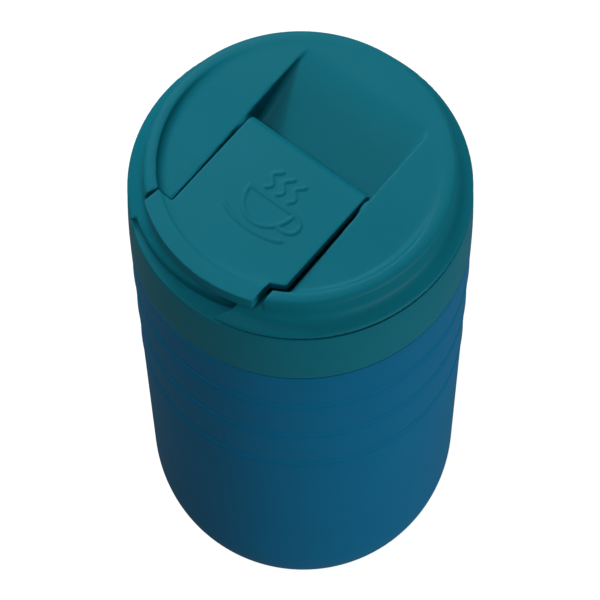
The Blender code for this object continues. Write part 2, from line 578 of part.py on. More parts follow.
def make_lid_inner(liner, silicone):
    low, floor = LIP_TOP - PLUG_DROP, LIP_TOP - PLUG_DROP + PLUG_FLOOR
    gasket_low = LIP_TOP - GASKET_DROP
    gasket_high = gasket_low + GASKET_HEIGHT
    groove = PLUG_RADIUS - GASKET_DEPTH
    outline = [(0.0, low), (PLUG_RADIUS - PLUG_CHAMFER, low), (PLUG_RADIUS, low + PLUG_CHAMFER),
               (PLUG_RADIUS, gasket_low - FIT_GAP), (groove, gasket_low - FIT_GAP),
               (groove, gasket_high + FIT_GAP), (PLUG_RADIUS, gasket_high + FIT_GAP),
               (PLUG_RADIUS, PLUG_TOP), (PLUG_RADIUS - PLUG_WALL, PLUG_TOP),
               (PLUG_RADIUS - PLUG_WALL, floor), (0.0, floor)]
    inner = body_object("lid_inner", turned(outline, INNER_STEPS, closed=False), liner)
    chimney = slot(HOLE_HALF_LENGTH + TUBE_WALL, HOLE_HALF_WIDTH + TUBE_WALL, HOLE_Y)
    vent = circle_plan(VENT_RADIUS + TUBE_WALL, VENT_Y)
    combine(inner, tool("chimney_tube", prism(chimney, low + PLUG_FLOOR / 2, TUBE_TOP)), "UNION")
    combine(inner, tool("vent_tube", prism(vent, low + PLUG_FLOOR / 2, TUBE_TOP)), "UNION")
    hole = slot(HOLE_HALF_LENGTH, HOLE_HALF_WIDTH, HOLE_Y)
    vent_hole = circle_plan(VENT_RADIUS, VENT_Y)
    seal_low, seal_high = TUBE_TOP + FIT_GAP, TUBE_TOP + FIT_GAP + SEAL_THICKNESS
    spout_seal = body_object("spout_seal", prism(chimney, seal_low, seal_high), silicone)
    vent_seal = body_object("vent_seal", prism(vent, seal_low, seal_high), silicone)
    bores = ((inner, hole, "chimney_bore"), (inner, vent_hole, "vent_bore"),
             (spout_seal, hole, "spout_seal_bore"), (vent_seal, vent_hole, "vent_seal_bore"))
    for obj, plan, name in bores:
        combine(obj, tool(name + "_cutter", prism(plan, low - OVERRUN, seal_high + OVERRUN)))

    inside = groove + FIT_GAP
    body = PLUG_RADIUS - FIT_GAP
    fin = FLASK_INSIDE - FIT_GAP
    outline = [(inside, gasket_low), (body, gasket_low)]
    for share in FIN_SHARES:
        z = gasket_low + GASKET_HEIGHT * share
        outline += [(body, z - FIN_ROOT), (fin, z + FIN_LIFT - FIN_TIP),
                    (fin, z + FIN_LIFT + FIN_TIP), (body, z + FIN_ROOT)]
    outline += [(body, gasket_high), (inside, gasket_high)]
    body_object("lid_gasket", turned(outline, INNER_STEPS), silicone)


def main():
    clear_scene()
    blue = finish("blue_powder_coat", (0.004, 0.085, 0.195), 0.45)
    teal = finish("teal_plastic", (0.012, 0.145, 0.185), 0.42)
    steel = finish("bare_steel", (0.60, 0.60, 0.58), 0.30, 1.0)
    solder = finish("solder", (0.45, 0.45, 0.46), 0.40, 1.0)
    pellet = finish("getter_metal", (0.16, 0.16, 0.17), 0.60, 1.0)
    grey_silicone = finish("grey_silicone", (0.10, 0.11, 0.12), 0.60)
    clear_silicone = finish("clear_silicone", (0.62, 0.64, 0.62), 0.50)
    liner = finish("liner_plastic", (0.010, 0.100, 0.130), 0.45)
    make_outer_shell(blue)
    make_inner_flask(steel)
    make_base(steel, solder, pellet, grey_silicone)
    make_collar(teal)
    make_lid_shell(teal)
    make_lid_inner(liner, clear_silicone)
    make_pin(steel)
    make_flap(teal, liner, clear_silicone)


main()
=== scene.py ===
import json
import math

import bmesh
import bpy
import numpy as np
from mathutils import Matrix, Vector


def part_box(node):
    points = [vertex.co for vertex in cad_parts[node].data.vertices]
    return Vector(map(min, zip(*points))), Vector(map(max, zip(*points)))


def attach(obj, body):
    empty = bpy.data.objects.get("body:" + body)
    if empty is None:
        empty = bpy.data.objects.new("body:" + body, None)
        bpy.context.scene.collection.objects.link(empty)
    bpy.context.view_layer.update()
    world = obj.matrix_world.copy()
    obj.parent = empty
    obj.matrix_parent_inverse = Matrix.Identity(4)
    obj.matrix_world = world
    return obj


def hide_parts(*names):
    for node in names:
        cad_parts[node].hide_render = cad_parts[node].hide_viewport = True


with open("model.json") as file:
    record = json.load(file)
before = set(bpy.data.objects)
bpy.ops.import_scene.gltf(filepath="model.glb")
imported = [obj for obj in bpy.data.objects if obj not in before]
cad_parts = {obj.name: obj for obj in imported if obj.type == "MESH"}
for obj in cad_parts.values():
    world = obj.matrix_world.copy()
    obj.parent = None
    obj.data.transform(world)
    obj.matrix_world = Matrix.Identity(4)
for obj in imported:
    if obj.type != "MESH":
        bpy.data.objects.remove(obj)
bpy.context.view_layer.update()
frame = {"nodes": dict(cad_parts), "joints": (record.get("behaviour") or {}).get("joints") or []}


# Outer shell. A cup drawn from thin stainless sheet, with three faint grip ribs rolled in below the
# seam. It is powder coated satin blue up to its shoulder; the neck above stays bare for the thread.

MM = 0.001
FIT_GAP = 0.3 * MM
SHEET = 0.6 * MM
FOOT_RISE = 23.7 * MM
TAPER = 0.6 * MM
SHOULDER_ROUND = 0.5 * MM
NECK_FILLET = 0.8 * MM
RIB_COUNT = 3
RIB_PITCH = 17.6 * MM
RIB_WIDTH = 2.4 * MM
RIB_HEIGHT = 0.15 * MM
RIB_BED_WIDTH = 6.0 * MM
RIB_BED_DEPTH = 0.30 * MM
RIB_STEPS = 24
TOP_RIB_DROP = 15.9 * MM
SEGMENTS = 192
STEEL = (0.60, 0.60, 0.585)

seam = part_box("lid_collar")[0].z - FIT_GAP
body_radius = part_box("lid_collar")[1].x
neck_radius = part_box("inner_flask")[1].x
neck_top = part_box("outer_shell")[1].z
foot_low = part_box("outer_shell")[0].z
pad_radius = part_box("base_pad")[1].x
foot_radius = pad_radius + FIT_GAP + SHEET


def new_object(name, mesh, material=None, sharp=35):
    """An object at the origin with smooth faces that meet sharply past the given angle."""
    mesh.name = name
    mesh.shade_smooth()
    mesh.set_sharp_from_angle(angle=math.radians(sharp))
    if material:
        mesh.materials.clear()
        mesh.materials.append(material)
    obj = bpy.data.objects.new(name, mesh)
    bpy.context.scene.collection.objects.link(obj)
    return obj


def turned(outline, segments=SEGMENTS):
    """The mesh of a closed (r, z) outline swept round Z. Points on the axis become poles."""
    bm = bmesh.new()
    rings = []
    for r, z in outline:
        count = segments if r > 1e-7 else 1
        angles = [2 * math.pi * i / count for i in range(count)]
        rings.append([bm.verts.new((r * math.cos(a), r * math.sin(a), z)) for a in angles])
    for lower, upper in zip(rings, rings[1:] + rings[:1]):
        for i in range(segments):
            corners = (lower[i % len(lower)], lower[(i + 1) % len(lower)],
                       upper[(i + 1) % len(upper)], upper[i % len(upper)])
            corners = list(dict.fromkeys(corners))
            if len(corners) > 2:
                bm.faces.new(corners)
    bmesh.ops.recalc_face_normals(bm, faces=bm.faces)
    mesh = bpy.data.meshes.new("turned")
    bm.to_mesh(mesh)
    bm.free()
    return mesh


def rounded(corners, steps=5):
    """A closed outline in which each corner (x, y, radius) is an arc."""
    points = []
    for i, (x, y, radius) in enumerate(corners):
        here = Vector((x, y))
        if not radius:
            points.append((x, y))
            continue
        back = (Vector(corners[i - 1][:2]) - here).normalized()
        on = (Vector(corners[(i + 1) % len(corners)][:2]) - here).normalized()
        half = back.angle(on) / 2
        centre = here + (back + on).normalized() * radius / math.sin(half)
        start = here + back * radius / math.tan(half) - centre
        end = here + on * radius / math.tan(half) - centre
        sweep = math.atan2(start.x * end.y - start.y * end.x, start.dot(end))
        for k in range(steps + 1):
            turn = Matrix.Rotation(sweep * k / steps, 2)
            points.append(tuple(centre + turn @ start))
    return points


def ellipse(centre, half_r, half_z, start, end, steps):
    """Points of (r, z) on an ellipse, between two angles in degrees."""
    angles = [math.radians(start + (end - start) * i / steps) for i in range(steps + 1)]
    return [(centre[0] + half_r * math.cos(a), centre[1] + half_z * math.sin(a)) for a in angles]


def swell(offset, width):
    """A soft bump of height 1 that fades to 0 at half its width."""
    return (1 + math.cos(2 * math.pi * min(abs(offset) / width, 0.5))) / 2


def body_wall(z):
    """Outside radius of the body: a slight taper, with each rib rolled up out of a shallow bed."""
    radius = body_radius - TAPER * (seam - z) / (seam - FOOT_RISE)
    for number in range(RIB_COUNT):
        off = z - (seam - TOP_RIB_DROP - RIB_PITCH * number)
        radius += (RIB_HEIGHT + RIB_BED_DEPTH) * swell(off, RIB_WIDTH)
        radius -= RIB_BED_DEPTH * swell(off, RIB_BED_WIDTH)
    return radius


class Wire:
    """An output of a node. Sums and products of wires and numbers add Math nodes."""

    def __init__(self, tree, socket=None):
        self.tree = tree
        self.socket = socket

    def node(self, kind, inputs, settings=None, output=0):
        """One output of a new node; its settings are set before its inputs' values or links."""
        made = self.tree.nodes.new(kind)
        for name, value in (settings or {}).items():
            setattr(made, name, value)
        for name, value in inputs.items():
            if isinstance(value, Wire):
                self.tree.links.new(value.socket, made.inputs[name])
            else:
                made.inputs[name].default_value = value
        return Wire(self.tree, made.outputs[output])

    def math(self, operation, first, second):
        return self.node("ShaderNodeMath", {0: first, 1: second}, {"operation": operation})

    def __add__(self, other):
        return self.math("ADD", self, other)

    def __sub__(self, other):
        return self.math("SUBTRACT", self, other)

    def __rsub__(self, other):
        return self.math("SUBTRACT", other, self)

    def __mul__(self, other):
        return self.math("MULTIPLY", self, other)

    __radd__ = __add__
    __rmul__ = __mul__


class Finish:
    """A material with one Principled shader, and a wire to start its nodes from."""

    def __init__(self, name, **sockets):
        self.material = bpy.data.materials.new(name)
        self.material.use_nodes = True
        self.tree = self.material.node_tree
        self.shader = self.tree.nodes["Principled BSDF"]
        self.wire = Wire(self.tree)
        self.place = self.wire.node("ShaderNodeTexCoord", {}, output="Object")
        for name, value in sockets.items():
            self.feed(name.replace("_", " "), value)

    def feed(self, name, value):
        if isinstance(value, Wire):
            self.tree.links.new(value.socket, self.shader.inputs[name])
        else:
            self.shader.inputs[name].default_value = value

    def noise(self, cell, detail=2.0, stretch=None):
        """Soft noise from 0 to 1 whose patches are about cell metres across."""
        place = self.place
        if stretch:
            place = self.wire.node("ShaderNodeVectorMath", {0: place, 1: stretch}, {"operation": "MULTIPLY"})
        inputs = {"Vector": place, "Scale": 1 / cell, "Detail": detail, "Roughness": 0.55}
        return self.wire.node("ShaderNodeTexNoise", inputs)

    def step(self, value, low, high):
        """0 below low and 1 above high, with a smooth change between."""
        inputs = {"Value": value, "From Min": low, "From Max": high}
        return self.wire.node("ShaderNodeMapRange", inputs, {"interpolation_type": "SMOOTHSTEP"})

    def mix(self, share, first, second):
        """The first colour where share is 0 and the second where it is 1."""
        inputs = {0: share, 6: first, 7: second}
        return self.wire.node("ShaderNodeMix", inputs, {"data_type": "RGBA"}, output=2)

    def bump(self, height, depth, strength=1.0):
        """Feeds the shader's normal with a relief of the given depth in metres."""
        inputs = {"Height": height, "Distance": depth, "Strength": strength}
        self.feed("Normal", self.wire.node("ShaderNodeBump", inputs))


blue = Finish("powder_coat", Specular_IOR_Level=0.03)
height = blue.wire.node("ShaderNodeSeparateXYZ", {"Vector": blue.place}, output="Z")
bare = blue.step(height, seam + 0.35 * MM, seam + 0.65 * MM)
cloud = blue.noise(30 * MM)
coat = blue.mix(cloud, (0.002, 0.124, 0.255, 1), (0.004, 0.140, 0.282, 1))
blue.feed("Base Color", blue.mix(bare, coat, (*STEEL, 1)))
blue.feed("Metallic", bare)
peel = blue.noise(0.9 * MM, 3.0)
brushing = blue.noise(1.0, 2.0, (30, 30, 4500))
blue.feed("Roughness", (0.40 + 0.10 * peel) * (1 - bare) + (0.24 + 0.14 * brushing) * bare)
blue.bump(peel * (1 - bare) + 0.25 * brushing * bare, 0.05 * MM, 0.5)

levels = [FOOT_RISE + 12 * MM * i for i in range(5)]
for number in reversed(range(RIB_COUNT)):
    middle = seam - TOP_RIB_DROP - RIB_PITCH * number
    levels += [middle + RIB_BED_WIDTH * (i / RIB_STEPS - 0.5) for i in range(RIB_STEPS + 1)]
foot_centre = (foot_radius, FOOT_RISE)
low_radius = body_radius - TAPER
outside = ellipse(foot_centre, low_radius - foot_radius, FOOT_RISE - foot_low, -90, -2, 24)
outside += [(body_wall(z), z) for z in levels]
outside += rounded([(body_radius, seam - 3 * MM, 0), (body_radius, seam, SHOULDER_ROUND),
                    (neck_radius, seam, NECK_FILLET), (neck_radius, neck_top, 0)])
inside_neck = neck_radius - SHEET
inside = [(inside_neck, neck_top), (inside_neck, seam - SHEET), (body_radius - SHEET, seam - SHEET - 1 * MM)]
inside += ellipse(foot_centre, low_radius - foot_radius - SHEET, FOOT_RISE - foot_low - SHEET, 0, -78, 16)
inside += [(foot_radius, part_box("shell_base")[1].z), (pad_radius + FIT_GAP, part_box("shell_base")[1].z),
           (pad_radius + FIT_GAP, foot_low)]
outer_shell = new_object("cup_shell", turned(outside + inside), blue.material)
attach(outer_shell, "cup")
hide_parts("outer_shell")


# Screw threads. Four right-hand ridges with slanted flanks are rolled into the steel neck, and four
# short ones, half a pitch higher, are moulded inside the lid's collar to run between them.

THREAD_LEAD = 16.0 * MM
THREAD_STARTS = 4
THREAD_RISE = 3.2 * MM
THREAD_HEIGHT = 0.9 * MM
THREAD_CLEARANCE = 0.4 * MM
THREAD_FOOT = 1.9 * MM
THREAD_CREST = 0.8 * MM
THREAD_SINK = 0.25 * MM
THREAD_STEPS = 96
NECK_THREAD_TURN = 165 / 360
LID_THREAD_TURN = 75 / 360


def tree_with(name, sockets):
    """A geometry tree with named inputs, its output node, and a wire for each input."""
    tree = bpy.data.node_groups.new(name, "GeometryNodeTree")
    tree.interface.new_socket("Geometry", in_out="OUTPUT", socket_type="NodeSocketGeometry")
    for label, kind in sockets.items():
        tree.interface.new_socket(label, in_out="INPUT", socket_type="NodeSocket" + kind)
    source = tree.nodes.new("NodeGroupInput")
    target = tree.nodes.new("NodeGroupOutput")
    return tree, target, {label: Wire(tree, source.outputs[label]) for label in sockets}


def grown(name, tree, values, material):
    """The object that a geometry tree makes with these input values, as a plain mesh."""
    holder = bpy.data.objects.new(name + "_holder", bpy.data.meshes.new(name + "_holder"))
    bpy.context.scene.collection.objects.link(holder)
    modifier = holder.modifiers.new(name, "NODES")
    modifier.node_group = tree
    for item in tree.interface.items_tree:
        if item.in_out == "INPUT":
            modifier[item.identifier] = values[item.name]
    graph = bpy.context.evaluated_depsgraph_get()
    mesh = bpy.data.meshes.new_from_object(holder.evaluated_get(graph))
    bpy.data.objects.remove(holder)
    return new_object(name, mesh, material)


thread_tree, thread_out, given = tree_with("thread_ridges", {
    "Wall Radius": "Float", "Outward": "Float", "Low": "Float", "Lead": "Float", "Turn": "Float",
    "Starts": "Int", "Foot": "Float", "Crest": "Float", "Height": "Float", "Sink": "Float",
    "Material": "Material"})
wire = given["Lead"]
spiral = wire.node("GeometryNodeCurveSpiral", {
    "Resolution": THREAD_STEPS, "Rotations": given["Turn"], "Start Radius": given["Wall Radius"],
    "End Radius": given["Wall Radius"], "Height": given["Lead"] * given["Turn"], "Reverse": True})
path = wire.node("GeometryNodeSetCurveNormal", {"Curve": spiral}, {"mode": "Z_UP"})
section = wire.node("GeometryNodeCurvePrimitiveQuadrilateral", {
    "Height": given["Height"] + given["Sink"], "Bottom Width": given["Foot"],
    "Top Width": given["Crest"], "Offset": 0.0}, {"mode": "TRAPEZOID"})
lift = (given["Height"] - given["Sink"]) * 0.5
section = wire.node("GeometryNodeTransform", {
    "Geometry": section, "Translation": wire.node("ShaderNodeCombineXYZ", {"Y": lift})})
turn = wire.node("ShaderNodeCombineXYZ", {"Z": given["Outward"] * (math.pi / 2)})
section = wire.node("GeometryNodeTransform", {"Geometry": section, "Rotation": turn})
ridge = wire.node("GeometryNodeCurveToMesh", {"Curve": path, "Profile Curve": section, "Fill Caps": True})
ridge = wire.node("GeometryNodeTransform", {
    "Geometry": ridge, "Translation": wire.node("ShaderNodeCombineXYZ", {"Z": given["Low"]})})
spots = wire.node("GeometryNodeMeshLine", {"Count": given["Starts"], "Offset": (0, 0, 0)})
number = wire.node("GeometryNodeInputIndex", {})
share = wire.math("DIVIDE", number * (2 * math.pi), given["Starts"])
ridges = wire.node("GeometryNodeInstanceOnPoints", {
    "Points": spots, "Instance": ridge, "Rotation": wire.node("ShaderNodeCombineXYZ", {"Z": share})})
ridges = wire.node("GeometryNodeRealizeInstances", {"Geometry": ridges})
ridges = wire.node("GeometryNodeSetMaterial", {"Geometry": ridges, "Material": given["Material"]})
thread_tree.links.new(ridges.socket, thread_out.inputs["Geometry"])


def brushed_steel(name, colour, low, high, stretch):
    """Bare steel with fine polishing lines; stretch is how fast they change along X, Y and Z."""
    steel = Finish(name, Metallic=1.0)
    lines = steel.noise(1.0, 3.0, stretch)
    stain = steel.noise(18 * MM)
    steel.feed("Base Color", steel.mix(stain, (*colour, 1), (*[c * 0.93 for c in colour], 1)))
    steel.feed("Roughness", low + (high - low) * lines)
    steel.bump(lines, 0.02 * MM, 0.4)
    return steel.material


steel = brushed_steel("brushed_steel", STEEL, 0.22, 0.38, (30, 30, 4500))
thread_sizes = {"Lead": THREAD_LEAD, "Starts": THREAD_STARTS, "Foot": THREAD_FOOT, "Crest": THREAD_CREST,
                "Height": THREAD_HEIGHT, "Sink": THREAD_SINK}
neck_thread = grown("neck_thread", thread_tree, {
    **thread_sizes, "Wall Radius": neck_radius, "Outward": 1.0, "Low": seam + THREAD_RISE,
    "Turn": NECK_THREAD_TURN, "Material": steel}, steel)
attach(neck_thread, "cup")


# Liner. The inner cup is a second drawn steel cup, welded to the neck at its folded lip. The vacuum
# between the two keeps the drink warm. It is bare steel, brushed round and round.

FLASK_WALL = 0.5 * MM
FLASK_ROUND = 16.0 * MM
LIP_STRAIGHT = 5.0 * MM
LIP_THICKNESS = 0.7 * MM

flask_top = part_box("inner_flask")[1].z
flask_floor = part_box("inner_flask")[0].z
flask_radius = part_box("lid_gasket")[1].x + FIT_GAP + FLASK_WALL
corner = (flask_radius - FLASK_ROUND, flask_floor + FLASK_ROUND)
inner_round = FLASK_ROUND - FLASK_WALL
outline = [(0.0, flask_floor)] + ellipse(corner, FLASK_ROUND, FLASK_ROUND, -90, 0, 20)
lip_low = flask_top - LIP_THICKNESS
outline += rounded([(flask_radius, lip_low - LIP_STRAIGHT, 0), (flask_radius, lip_low, 0),
                    (neck_radius, lip_low, 0.15 * MM), (neck_radius, flask_top, 0.5 * MM),
                    (flask_radius - FLASK_WALL, flask_top, 0.5 * MM),
                    (flask_radius - FLASK_WALL, lip_low - LIP_STRAIGHT, 0)])
outline += ellipse(corner, inner_round, inner_round, 0, -90, 20) + [(0.0, flask_floor + FLASK_WALL)]
liner = new_object("steel_liner", turned(outline), steel)
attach(liner, "cup")
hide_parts("inner_flask")


# Base. A steel disc is welded into the foot; a bead of solder closes the hole that the air was drawn
# out through, and a getter pellet above it mops up the last gas. All three are hidden by the foot pad.

plain_steel = brushed_steel("base_steel", (0.56, 0.56, 0.55), 0.3, 0.5, (900, 60, 60))
frame["nodes"]["shell_base"].material_slots[0].material = plain_steel
solder = Finish("solder", Metallic=1.0)
ripple = solder.noise(1.2 * MM)
solder.feed("Base Color", solder.mix(ripple, (0.42, 0.42, 0.43, 1), (0.52, 0.52, 0.53, 1)))
solder.feed("Roughness", 0.3 + 0.25 * ripple)
solder.bump(ripple, 0.1 * MM)
frame["nodes"]["seal_bead"].material_slots[0].material = solder.material
getter = Finish("getter_metal", Metallic=0.7)
grit = getter.noise(0.15 * MM, 4.0)
getter.feed("Base Color", getter.mix(grit, (0.10, 0.10, 0.105, 1), (0.20, 0.20, 0.21, 1)))
getter.feed("Roughness", 0.55 + 0.3 * grit)
getter.bump(grit, 0.05 * MM)
frame["nodes"]["getter"].material_slots[0].material = getter.material


# Foot pad. A moulded disc of matte silicone, pressed into the foot so that the cup stands quietly.
# Its underside has one round groove. The ring of small pips lies inside the pad, flush with its face.

PAD_GROOVE_RADIUS = 15.0 * MM
PAD_GROOVE_HALF = 0.8 * MM
PAD_GROOVE_DEPTH = 0.5 * MM
PAD_ROUND = 0.5 * MM
PAD_RECESS = 0.25 * MM
PIP_COUNT = 36
PIP_RADIUS = 0.7 * MM
PIP_FLATNESS = 0.35

rubber = Finish("foot_silicone")
dust = rubber.noise(6 * MM, 4.0)
skin = rubber.noise(0.25 * MM, 2.0)
rubber.feed("Base Color", rubber.mix(dust, (0.050, 0.056, 0.062, 1), (0.085, 0.092, 0.100, 1)))
rubber.feed("Roughness", 0.62 + 0.2 * skin)
rubber.bump(skin, 0.03 * MM, 0.5)
pad_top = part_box("base_pad")[1].z
outline = [(0.0, PAD_RECESS)]
outline += rounded([(PAD_GROOVE_RADIUS - 4 * PAD_GROOVE_HALF, PAD_RECESS, 0),
                    (PAD_GROOVE_RADIUS - 3 * PAD_GROOVE_HALF, 0.0, 0.2 * MM),
                    (PAD_GROOVE_RADIUS - PAD_GROOVE_HALF, 0.0, 0.2 * MM),
                    (PAD_GROOVE_RADIUS - PAD_GROOVE_HALF, PAD_GROOVE_DEPTH, 0.2 * MM),
                    (PAD_GROOVE_RADIUS + PAD_GROOVE_HALF, PAD_GROOVE_DEPTH, 0.2 * MM),
                    (PAD_GROOVE_RADIUS + PAD_GROOVE_HALF, 0.0, 0.2 * MM),
                    (pad_radius, 0.0, PAD_ROUND), (pad_radius, pad_top, 0)])
outline.append((0.0, pad_top))
foot_pad = new_object("foot_pad", turned(outline, 128), rubber.material)
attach(foot_pad, "cup")
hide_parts("base_pad")

pip_tree, pip_out, given = tree_with("grip_pips", {
    "Ring Radius": "Float", "Count": "Int", "Pip Radius": "Float", "Level": "Float", "Material": "Material"})
wire = given["Count"]
spots = wire.node("GeometryNodeMeshCircle", {"Vertices": given["Count"], "Radius": given["Ring Radius"]})
pip = wire.node("GeometryNodeMeshUVSphere", {"Segments": 12, "Rings": 8, "Radius": given["Pip Radius"]})
flat = wire.node("ShaderNodeCombineXYZ", {"X": 1.0, "Y": 1.0, "Z": PIP_FLATNESS})
pips = wire.node("GeometryNodeInstanceOnPoints", {"Points": spots, "Instance": pip, "Scale": flat})
pips = wire.node("GeometryNodeTransform", {
    "Geometry": pips, "Translation": wire.node("ShaderNodeCombineXYZ", {"Z": given["Level"]})})
pips = wire.node("GeometryNodeRealizeInstances", {"Geometry": pips})
pips = wire.node("GeometryNodeSetMaterial", {"Geometry": pips, "Material": given["Material"]})
pip_tree.links.new(pips.socket, pip_out.inputs["Geometry"])
grip_pips = grown("grip_pips", pip_tree, {
    "Ring Radius": pad_radius * 0.8, "Count": PIP_COUNT, "Pip Radius": PIP_RADIUS,
    "Level": PIP_RADIUS * PIP_FLATNESS, "Material": rubber.material}, rubber.material)
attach(grip_pips, "cup")


# Lid collar. A moulded polypropylene ring, a little narrower at its top, with a flange that turns in
# over the cup's lip. Its outside runs flush with the cup; the thread's lugs stand on its bore.

COLLAR_LEAN = 0.6 * MM
COLLAR_FLANGE = 1.6 * MM
COLLAR_FLANGE_REACH = 7.2 * MM
COLLAR_EDGE = 0.45 * MM
COLLAR_STEPS = 10


def moulded(name, dark, light, roughness, grain_depth):
    """Satin polypropylene: colour that clouds a little, and the fine grain of a spark-eroded mould."""
    plastic = Finish(name, Specular_IOR_Level=0.05)
    cloud = plastic.noise(22 * MM, 3.0)
    grain = plastic.noise(0.28 * MM, 2.0)
    plastic.feed("Base Color", plastic.mix(cloud, (*dark, 1), (*light, 1)))
    plastic.feed("Roughness", roughness + 0.10 * grain)
    plastic.bump(grain, grain_depth, 0.6)
    return plastic.material


teal = moulded("teal_plastic", (0.002, 0.132, 0.180), (0.004, 0.150, 0.204), 0.38, 0.016 * MM)
collar_low, collar_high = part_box("lid_collar")[0].z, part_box("lid_collar")[1].z
collar_top_radius = body_radius - COLLAR_LEAN
bore = neck_radius + THREAD_HEIGHT + THREAD_CLEARANCE
flange = collar_top_radius - COLLAR_FLANGE_REACH
barrel = [(body_radius - COLLAR_LEAN * (i / COLLAR_STEPS) ** 2,
           collar_low + (collar_high - collar_low) * i / COLLAR_STEPS, 0) for i in range(1, COLLAR_STEPS)]
outline = rounded([(bore, collar_low, 0.3 * MM), (body_radius, collar_low, COLLAR_EDGE), *barrel,
                   (collar_top_radius, collar_high, COLLAR_EDGE), (flange, collar_high, 0.2 * MM),
                   (flange, collar_high - COLLAR_FLANGE, 0.2 * MM), (bore, collar_high - COLLAR_FLANGE, 0)])
collar = new_object("collar", turned(outline), teal)
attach(collar, "lid")
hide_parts("lid_collar")
pitch = THREAD_LEAD / THREAD_STARTS
collar_lugs = grown("collar_lugs", thread_tree, {
    **thread_sizes, "Wall Radius": bore, "Outward": -1.0, "Low": seam + THREAD_RISE + pitch / 2,
    "Turn": LID_THREAD_TURN, "Material": teal}, teal)
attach(collar_lugs, "lid")


# Inner lid. A shallow cup of the darker plastic that reaches down into the neck. Its chimney leads the
# drink up to the hole under the flap, a small tube beside it lets air in, and a groove holds the gasket.

HOLE_HALF_LENGTH = 8.0 * MM
HOLE_HALF_WIDTH = 3.4 * MM
VENT_RADIUS = 1.7 * MM
TUBE_WALL = 1.5 * MM
PLUG_FLOOR = 2.0 * MM
PLUG_WALL = 3.0 * MM
GASKET_DEPTH = 1.4 * MM
FINE = 0.3 * MM


def prism(plan, low, high):
    """The closed mesh between two copies of a flat outline."""
    bm = bmesh.new()
    face = bm.faces.new([bm.verts.new((x, y, low)) for x, y in plan])
    made = bmesh.ops.extrude_face_region(bm, geom=[face])["geom"]
    top = [item for item in made if isinstance(item, bmesh.types.BMVert)]
    bmesh.ops.translate(bm, verts=top, vec=(0, 0, high - low))
    bmesh.ops.recalc_face_normals(bm, faces=bm.faces)
    mesh = bpy.data.meshes.new("prism")
    bm.to_mesh(mesh)
    bm.free()
    return mesh


def slot(half_length, half_width, y, grow=0.0):
    """A round-ended slot along X, as an outline."""
    long, wide = half_length + grow, half_width + grow
    return rounded([(-long, y - wide, wide), (long, y - wide, wide), (long, y + wide, wide),
                    (-long, y + wide, wide)], 10)


def disc(radius, y=0.0, steps=48):
    return [(radius * math.cos(2 * math.pi * i / steps), y + radius * math.sin(2 * math.pi * i / steps))
            for i in range(steps)]


def carved(name, blank, steps, material, voxel=None, soften=0):
    """The blank with meshes cut from it or joined to it in turn, as ("DIFFERENCE" or "UNION", mesh).
    With a voxel size its skin is rebuilt evenly and softened, which rounds every edge and corner."""
    work = bpy.data.objects.new(name + "_blank", blank)
    bpy.context.scene.collection.objects.link(work)
    tools = []
    for operation, mesh in steps:
        tool = bpy.data.objects.new(name + "_tool", mesh)
        bpy.context.scene.collection.objects.link(tool)
        tools.append(tool)
        modifier = work.modifiers.new(operation, "BOOLEAN")
        modifier.operation = operation
        modifier.object = tool
        modifier.solver = "EXACT"
    if voxel:
        skin = work.modifiers.new("skin", "REMESH")
        skin.mode = "VOXEL"
        skin.voxel_size = voxel
        smooth = work.modifiers.new("soften", "SMOOTH")
        smooth.factor = 0.5
        smooth.iterations = soften
    graph = bpy.context.evaluated_depsgraph_get()
    mesh = bpy.data.meshes.new_from_object(work.evaluated_get(graph))
    for used in tools + [work]:
        bpy.data.objects.remove(used)
    return new_object(name, mesh, material)


dark_teal = moulded("dark_teal_plastic", (0.002, 0.082, 0.112), (0.004, 0.096, 0.130), 0.40, 0.014 * MM)
hole_y = (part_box("spout_seal")[0].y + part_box("spout_seal")[1].y) / 2
vent_y = (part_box("vent_seal")[0].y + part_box("vent_seal")[1].y) / 2
plug_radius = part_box("lid_inner")[1].x
plug_low, tube_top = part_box("lid_inner")[0].z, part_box("lid_inner")[1].z
plug_top = collar_high - COLLAR_FLANGE - FIT_GAP
gasket_low, gasket_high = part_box("lid_gasket")[0].z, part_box("lid_gasket")[1].z
groove = plug_radius - GASKET_DEPTH
outline = rounded([(plug_radius, plug_low, 1 * MM), (plug_radius, gasket_low - FIT_GAP, 0.15 * MM),
                   (groove, gasket_low - FIT_GAP, 0), (groove, gasket_high + FIT_GAP, 0),
                   (plug_radius, gasket_high + FIT_GAP, 0.15 * MM), (plug_radius, plug_top, 0.3 * MM),
                   (plug_radius - PLUG_WALL, plug_top, 0.3 * MM),
                   (plug_radius - PLUG_WALL, plug_low + PLUG_FLOOR, 1 * MM),
                   (0.0, plug_low + PLUG_FLOOR, 0), (0.0, plug_low, 0)])
hole = slot(HOLE_HALF_LENGTH, HOLE_HALF_WIDTH, hole_y)
chimney = slot(HOLE_HALF_LENGTH, HOLE_HALF_WIDTH, hole_y, TUBE_WALL)
tube_low = plug_low + PLUG_FLOOR / 2
steps = [("UNION", prism(chimney, tube_low, tube_top)),
         ("UNION", prism(disc(VENT_RADIUS + TUBE_WALL, vent_y), tube_low, tube_top)),
         ("DIFFERENCE", prism(hole, plug_low - FINE, tube_top + FINE)),
         ("DIFFERENCE", prism(disc(VENT_RADIUS, vent_y), plug_low - FINE, tube_top + FINE))]
inner_lid = carved("inner_lid", turned(outline, 160), steps, dark_teal)
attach(inner_lid, "lid")
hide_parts("lid_inner")


# Gasket and seals. The gasket is a milky silicone ring with two thin fins that wipe the liner's wall.
# Two flat silicone washers close the joint between the inner lid's tubes and the lid above.

FIN_SHARES = (0.25, 0.72)
FIN_ROOT = 0.7 * MM
FIN_TIP = 0.2 * MM
FIN_LIFT = 0.3 * MM

